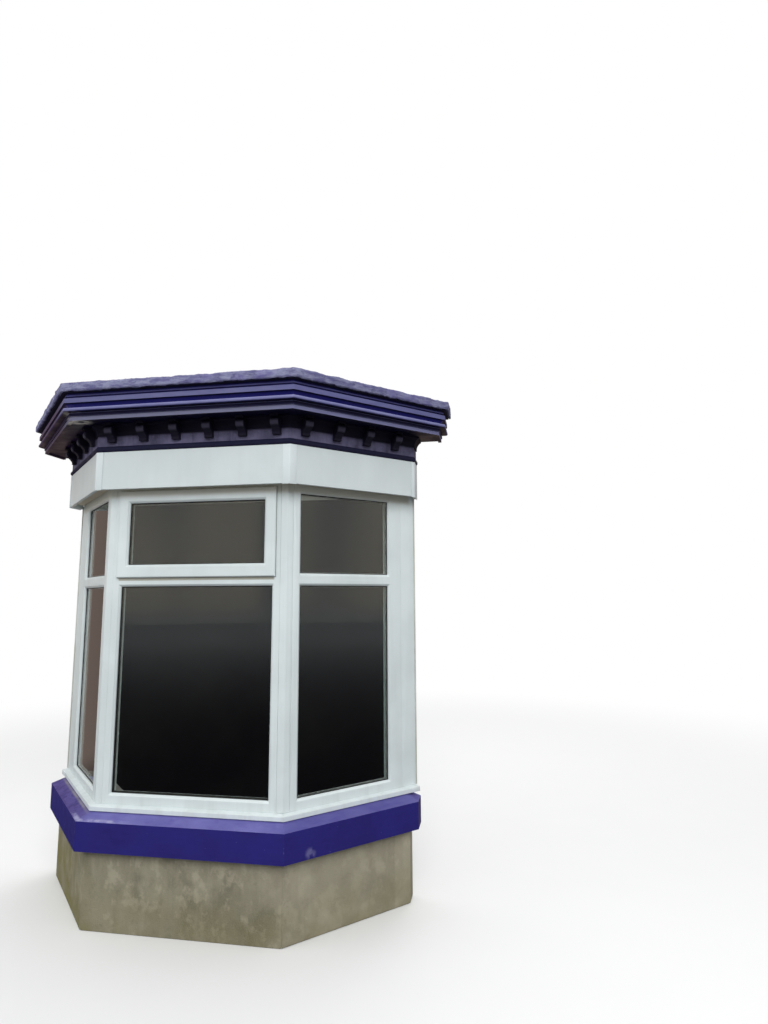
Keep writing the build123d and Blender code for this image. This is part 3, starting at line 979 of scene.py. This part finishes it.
def smooth(piece: Piece, degrees: float = 35) -> None:
    """Shade it smooth except at its sharper edges."""
    pick(piece)
    bpy.ops.object.shade_smooth_by_angle(angle=math.radians(degrees))


def dress(piece: Piece, finish: Finish) -> None:
    """Give a new piece its finish and let it ride on the bay."""
    finish.lay_on(piece)
    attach(piece, "root")


# Sub-assemblies


@dataclass
class StructureFinishes:
    """The finishes of the CAD's own solids, and the soft arrises of those that are cast, cut or moulded."""

    finishes: Dict[str, Finish] = field(default_factory=lambda: {
        **dict.fromkeys(("cill", "frame", "fanlight_sash", "corner_post", "end_trim"), WindowPlastic()),
        "frame_front": FrontFramePlastic(), "wall": CementRender(), "sill": StonePaint(),
        "end_stud": StudTimber(), "head": HeadTimber(), "frieze": FriezePaint(),
        "cornice": CornicePaint(), "glass": WindowGlass(),
        "roof_covering": CoveringPaint(), "roof_deck": PaintedTimber(), "ceiling_board": CeilingPaint(),
        "fascia": WindowPlastic(
            "fascia_plastic", srgb(208, 217, 218), srgb(202, 211, 212), dirt_share=0.08
        ),
        # painted shade: the white board plastic made mid-grey, as the board lies in the dark room
        "window_board": WindowPlastic(
            "shaded_board_plastic", srgb(142, 142, 142), srgb(124, 123, 120), dirt_share=0.25
        ),
    })
    arrises: Dict[str, float] = field(default_factory=lambda: {
        "wall": 0.006, "cill": 0.003, "frame": 0.0016, "corner_post": 0.003, "end_trim": 0.003,
        "fascia": 0.004, "window_board": 0.006, "fanlight_sash": 0.0016,
    })
    weld_within: float = 0.00005
    sharp: float = math.radians(35)

    def dress(self) -> None:
        """Finish every solid."""
        for name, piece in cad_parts.items():
            kind = max((key for key in self.finishes if name.startswith(key)), key=len)
            self.finishes[kind].lay_on(piece)
            ease = next((size for key, size in self.arrises.items() if name.startswith(key)), 0.0)
            if ease:
                weld = piece.modifiers.new("weld", "WELD")
                weld.merge_threshold = self.weld_within
                bevel = piece.modifiers.new("arris", "BEVEL")
                bevel.width, bevel.segments = ease, 2
                bevel.limit_method, bevel.angle_limit = "ANGLE", self.sharp


@dataclass
class Light:
    """One glazed light: its face, the middle and size of its clear glass, and how far back the glass is."""

    name: str
    side: Side
    along: float
    width: float
    foot: float
    top: float
    back: float
    bar: SpacerMetal = SpacerMetal()
    seal: float = 0.0045
    inner_seal: float = 0.003
    seal_thick: float = 0.003
    seal_ease: float = 0.0008
    unit: float = 0.024
    pane: float = 0.005
    spacer: float = 0.0075
    spacer_depth: float = 0.014
    spacer_ease: float = 0.0006

    def ring(self, name: str, back: float, reach: float, thick: float, ease: float) -> Piece:
        """A ring that reaches into the clear glass, this far back from the face."""
        centre = (self.along, (self.foot + self.top) / 2, -back)
        return ring(name, self.side, centre, (self.width, self.top - self.foot), -reach, thick, ease)

    def build(self) -> None:
        """Seal the glass outside and inside, and set the spacer bar in the unit."""
        inner = self.back + self.unit + self.seal_thick
        middle = self.back + self.pane + self.spacer_depth
        seal = join(
            f"seal_{self.name}",
            self.ring("seal_out", self.back, self.seal, self.seal_thick, self.seal_ease),
            self.ring("seal_in", inner, self.inner_seal, self.seal_thick, self.seal_ease),
        )
        dress(seal, SealRubber())
        spacer = self.ring(
            f"spacer_{self.name}", middle, self.spacer, self.spacer_depth, self.spacer_ease
        )
        dress(spacer, self.bar)


@dataclass
class Glazing:
    """All the lights of the three windows."""

    lower: Pair = (0.683, 1.812)
    upper: Pair = (1.88, 2.33)
    fanlight: Pair = (1.935, 2.292)
    sash: Triple = (0.476, 1.862, 2.364)
    front_width: float = 0.91
    fanlight_width: float = 0.82
    cant_along: float = 0.38807
    cant_width: float = 0.60013
    set_back: float = 0.02
    sash_proud: float = 0.018
    sash_shadow_line: Triple = (0.002, 0.0025, 0.0006)

    def build(self) -> None:
        """Build the seals and spacer bars of every light, and a grey ring round the sash: partly its seal,
        partly a painted shadow line.
        """
        # painted shade: a darker copy of the spacer metal for the front lights, whose spacers lie in shade
        dark = SpacerMetal("shaded_spacer_metal", srgb(84, 87, 82), srgb(70, 72, 68))
        sash_back = self.set_back - self.sash_proud
        Light("front_lower", FRONT, 0, self.front_width, *self.lower, self.set_back, dark).build()
        Light("fanlight", FRONT, 0, self.fanlight_width, *self.fanlight, sash_back, dark).build()
        for side, sign in CANTED:
            along = sign * self.cant_along
            for level, span in (("lower", self.lower), ("upper", self.upper)):
                name = f"{level}_{side.name}"
                Light(name, side, along, self.cant_width, *span, self.set_back).build()
        half, foot, top = self.sash
        centre = (0, (foot + top) / 2, 0.0)
        # a grey ring on the frame round the sash: partly its seal, partly a painted shadow line
        rebate = ring("seal_sash", FRONT, centre, (2 * half, top - foot), *self.sash_shadow_line)
        dress(rebate, SealRubber("sash_shadow_line_rubber", srgb(112, 114, 113), srgb(150, 150, 145)))


@dataclass
class CornerTrims:
    """Folded white trims over the corners of the fascia and over its two ends."""

    leg: float = 0.04
    thick: float = 0.003
    hang: float = 0.004
    top_gap: float = 0.0005
    ease: float = 0.0022
    end_leg: float = 0.024

    def build(self) -> None:
        """Build the front corner trims and the end trims, both sides."""
        plastic = WindowPlastic("trim_plastic", srgb(216, 225, 227), srgb(210, 219, 221))
        corner_x, corner_y = FRONT_HALF + FASCIA_FACE * MITRE, FRONT_Y - FASCIA_FACE
        end_x = SIDE_HALF + FASCIA_FACE
        end_y = corner_y + end_x - corner_x
        slant, rise = math.cos(CANT), math.sin(CANT)
        courses = {
            "corner": [
                (corner_x - self.leg, corner_y), (corner_x, corner_y),
                (corner_x + self.leg * slant, corner_y + self.leg * rise),
            ],
            "end": [
                (end_x - self.end_leg * slant, end_y - self.end_leg * rise), (end_x, end_y),
                (end_x, WALL_Y),
            ],
        }
        for label, course in courses.items():
            for side, points in (("right", course), ("left", [(-x, y) for x, y in reversed(course)])):
                trim = folded(
                    f"fascia_{label}_trim_{side}", points, FASCIA_FOOT - self.hang,
                    FASCIA_TOP - self.top_gap, self.thick, self.ease,
                )
                smooth(trim)
                dress(trim, plastic)


@dataclass
class WallEnds:
    """White caps on the ends of the window cill, and a mastic bead down each back edge."""

    cap_length: float = 0.06
    cap_foot: float = 0.5955
    cap_top: float = 0.6235
    cap_nose: float = 0.0335
    bead: float = 0.007
    bead_out: float = 0.45
    bead_foot: float = 0.63
    bead_top: float = FASCIA_FOOT + 0.02
    ease: float = 0.0025

    def build(self) -> None:
        """Build the caps and beads, both sides."""
        plastic = WindowPlastic("cap_plastic", srgb(222, 229, 230), srgb(214, 222, 224))
        old = WindowPlastic("mastic", srgb(206, 208, 202), srgb(188, 188, 178), dirt_share=0.3)
        run = (WALL_Y - FRONT_Y) / math.sin(CANT)
        middle = (self.cap_foot + self.cap_top) / 2
        height = self.bead_top - self.bead_foot
        for side, sign in CANTED:
            cap = block(
                f"cill_cap_{side.name}", side,
                (sign * (run - self.cap_length / 2), middle, self.cap_nose / 2),
                (self.cap_length, self.cap_nose, self.cap_top - self.cap_foot), self.ease,
            )
            mastic = block(
                f"wall_bead_{side.name}", side,
                (sign * (run - self.bead / 2), self.bead_foot + height / 2, self.bead * self.bead_out),
                (self.bead, self.bead, height), self.ease, 3,
            )
            for piece, finish in ((cap, plastic), (mastic, old)):
                smooth(piece)
                dress(piece, finish)


@dataclass
class RaggedCovering:
    """The roof covering, lumpy and ragged at its edge, in place of the plain solid."""

    weld_within: float = 0.0001
    voxel: float = 0.009
    lump: float = 0.014
    lump_size: float = 0.05
    lump_depth: int = 3
    back_clear: float = 0.02
    smooth_below: float = 60

    def build(self) -> None:
        """Copy the solid, rebuild its skin and roughen it, but not along its back edge."""
        pick()
        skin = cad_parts["roof_covering"].copy()
        skin.data = skin.data.copy()
        skin.parent = None
        skin.matrix_world = Matrix.Identity(4)
        bpy.context.scene.collection.objects.link(skin)
        skin.name = "roof_skin"
        modifier(skin, "WELD", {"merge_threshold": self.weld_within})
        modifier(skin, "REMESH", {"mode": "VOXEL", "voxel_size": self.voxel, "adaptivity": 0.0})
        loose = skin.vertex_groups.new(name="loose")
        front = [v.index for v in skin.data.vertices if v.co.y < WALL_Y - self.back_clear]
        loose.add(front, 1.0, "REPLACE")
        rough = bpy.data.textures.new("ragged", "CLOUDS")
        rough.noise_scale, rough.noise_depth = self.lump_size, self.lump_depth
        modifier(skin, "DISPLACE", {
            "texture": rough, "strength": self.lump, "mid_level": 0.5, "direction": "NORMAL",
            "texture_coords": "LOCAL", "vertex_group": "loose",
        })
        smooth(skin, self.smooth_below)
        dress(skin, CoveringPaint())
        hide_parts("roof_covering")


# Studio


@dataclass(frozen=True)
class Lamp:
    """A large soft lamp aimed at the bay's middle."""

    name: str
    spot: Triple
    size: float
    watts: float
    aim: Triple = (0.0, 0.0, 1.6)

    def build(self) -> None:
        """Hang the lamp, which gloss and glass don't mirror."""
        data = bpy.data.lights.new(self.name, "AREA")
        data.shape, data.size, data.energy = "SQUARE", self.size, self.watts
        lamp = bpy.data.objects.new(self.name, data)
        bpy.context.scene.collection.objects.link(lamp)
        turn = (Vector(self.aim) - Vector(self.spot)).to_track_quat("-Z", "Y").to_matrix().to_4x4()
        lamp.matrix_world = Matrix.Translation(self.spot) @ turn
        lamp.visible_glossy = False


@dataclass
class Studio:
    """A pale floor, soft lights and the camera at the photograph's viewpoint."""

    eye: Triple = (1.6537, -3.4632, 1.7506)
    yaw: float = -9.7747
    pitch: float = 7.6579
    roll: float = -0.2519
    focal_pixels: float = 447.585
    closer: float = 1.4
    frame_height: int = 1024
    sensor: float = 36.0
    horizon: Colour = (0.48, 0.49, 0.5, 1.0)
    zenith: Colour = (0.98, 0.99, 1.0, 1.0)
    mirror_high: Colour = (1.0, 1.0, 0.98, 1.0)
    mirror_low: Colour = (0.5, 0.52, 0.54, 1.0)
    mirror_near: Colour = (0.03, 0.03, 0.035, 1.0)
    mirror_behind: Colour = (0.33, 0.25, 0.215, 1.0)
    row_pale: Colour = (1.15, 1.02, 0.8, 1.0)
    row_dark: Colour = (0.42, 0.38, 0.39, 1.0)
    row_height: Triple = (-0.02, 0.24, 0.03)
    floor_colour: Colour = (0.8, 0.8, 0.79, 1.0)
    floor_patch: Colour = (0.66, 0.66, 0.65, 1.0)
    floor_bounce: Colour = (0.22, 0.22, 0.22, 1.0)
    floor_radius: float = 40
    floor_height: float = -0.001
    fade: Pair = (3.0, 9.0)
    card_size: Pair = (3.0, 2.88)
    card_middle: float = 1.45
    card_gap: float = 0.004
    card_dark: Colour = (0.002, 0.0015, 0.002, 1.0)
    card_light: Colour = (0.01, 0.009, 0.009, 1.0)
    lamps: Tuple[Lamp, ...] = (
        Lamp("key", (2.6, -6.0, 5.6), 4.0, 314.0),
        Lamp("left", (-5.4, -2.2, 2.0), 3.0, 76.0),
        Lamp("back", (1.5, 5.0, 4.5), 3.0, 60.0),
    )

    def camera(self) -> None:
        """Set the camera at the photograph's viewpoint and turn, a little closer in."""
        data = bpy.data.cameras.new("camera")
        data.sensor_width = self.sensor
        data.lens = self.focal_pixels * self.closer / self.frame_height * self.sensor
        data.clip_start, data.clip_end = 0.05, 200.0
        camera = bpy.data.objects.new("camera", data)
        bpy.context.scene.collection.objects.link(camera)
        yaw, pitch, roll = (math.radians(a) for a in (self.yaw, self.pitch, self.roll))
        turn = Matrix.Rotation(-yaw, 4, "Z") @ Matrix.Rotation(UPRIGHT + pitch, 4, "X")
        turn = turn @ Matrix.Rotation(roll, 4, "Z")
        camera.matrix_world = Matrix.Translation(self.eye) @ turn
        bpy.context.scene.camera = camera

    def seen(self, graph: Graph) -> Value:
        """1 for what the camera sees, straight or through glass."""
        through = graph.value("LightPath", output="Is Transmission Ray")
        return graph.value("LightPath", output="Is Camera Ray").larger(through)

    def mirrored(self, graph: Graph) -> Value:
        """1 for what gloss and glass reflect, and 0 for what shows straight through a pane."""
        through = graph.value("LightPath", output="Is Transmission Ray")
        straight = graph.value("LightPath", output="Ray Depth").step(2.6, 2.4)
        return graph.value("LightPath", output="Is Glossy Ray") * (1 - through * straight)

    def world(self) -> None:
        """A sky that lights the bay, white to the camera, with soft tones for gloss and glass to mirror."""
        world = bpy.data.worlds.new("studio")
        bpy.context.scene.world = world
        graph = Graph(world, "Generated")
        _, y, height = graph.axes()
        lit = graph.mix(height.step(-0.02, 0.75), self.horizon, self.zenith)
        cloud = graph.noise(3.5, 4, rough=0.5).step(0.35, 0.65)
        haze = (height.step(-0.04, 0.09) * (0.75 + 0.5 * cloud)).held()
        row = graph.noise(4.6, 1, (1, 1, 0.15), rough=0.5).step(0.44, 0.54)
        mirror = graph.coats(
            self.mirror_low,
            (haze, self.mirror_high),
            (height.band(*self.row_height) * 0.8, graph.mix(row, self.row_dark, self.row_pale)),
            (y.step(0.18, 0.32) * height.step(0.85, 0.6), self.mirror_behind),
        )
        sky = graph.glow(graph.mix(self.mirrored(graph), lit, mirror), "Background")
        graph.end(graph.over(self.seen(graph), sky, graph.glow(WHITE, "Background")), "OutputWorld")

    @staticmethod
    def tree(piece: Piece, name: str) -> Graph:
        """The tree of a new material on a piece."""
        material = bpy.data.materials.new(name)
        piece.data.materials.append(material)
        return Graph(material)

    def floor(self) -> None:
        """A level floor that fades to the white background."""
        pick()
        bpy.ops.mesh.primitive_circle_add(
            vertices=96, radius=self.floor_radius, fill_type="NGON", location=(0, 0, self.floor_height)
        )
        floor = settle("floor")
        graph = self.tree(floor, "floor_paint")
        _, y, _ = graph.axes()
        reach = graph.value("VectorMath", {"operation": "LENGTH"}, {0: graph.place}, "Value")
        seen = self.seen(graph)
        pale = graph.mix(graph.noise(3, 3) * 0.1, self.floor_colour, self.floor_patch)
        body = graph.shade({
            "Base Color": graph.mix(seen, self.floor_bounce, pale),
            "Roughness": 0.9, "Specular IOR Level": 0.1,
        })
        shown = graph.over(reach.step(*self.fade) * seen, body, graph.glow(WHITE))
        mirror = graph.coats(
            self.mirror_near,
            (reach.step(2.5, 26.0), self.mirror_low),
            ((y - reach * 0.2).step(0.7, 1.4), self.mirror_behind),
        )
        graph.end(graph.over(self.mirrored(graph), shown, graph.glow(mirror)))

    def card(self) -> None:
        """A dark card behind the open back, which shows only through glass: a glowing sheet of painted shade
        for the room, lighter towards its top.
        """
        middle = Vector((0, WALL_Y + self.card_gap, self.card_middle))
        card = sheet("room_card", middle, 0, *self.card_size)
        graph = self.tree(card, "room_shade")
        _, _, z = graph.axes()
        cloud = graph.noise(1.7, 3).step(0.35, 0.7)
        colour = graph.mix(cloud * 0.6 + z.step(0.9, 2.4) * 0.4, self.card_dark, self.card_light)
        graph.end(graph.glow(colour))
        for kind in ("camera", "diffuse", "glossy", "shadow", "volume_scatter"):
            setattr(card, f"visible_{kind}", False)

    def build(self) -> None:
        """Set up the whole studio."""
        self.world()
        self.floor()
        self.card()
        for lamp in self.lamps:
            lamp.build()
        self.camera()
        bpy.context.scene.view_settings.view_transform = "Standard"


def main() -> None:
    """Build the bay's pieces in order, then the studio."""
    logging.basicConfig(level=logging.INFO, format="%(name)s: %(message)s")
    RaggedCovering().build()
    Glazing().build()
    CornerTrims().build()
    WallEnds().build()
    StructureFinishes().dress()
    Studio().build()


if __name__ == "__main__":
    main()
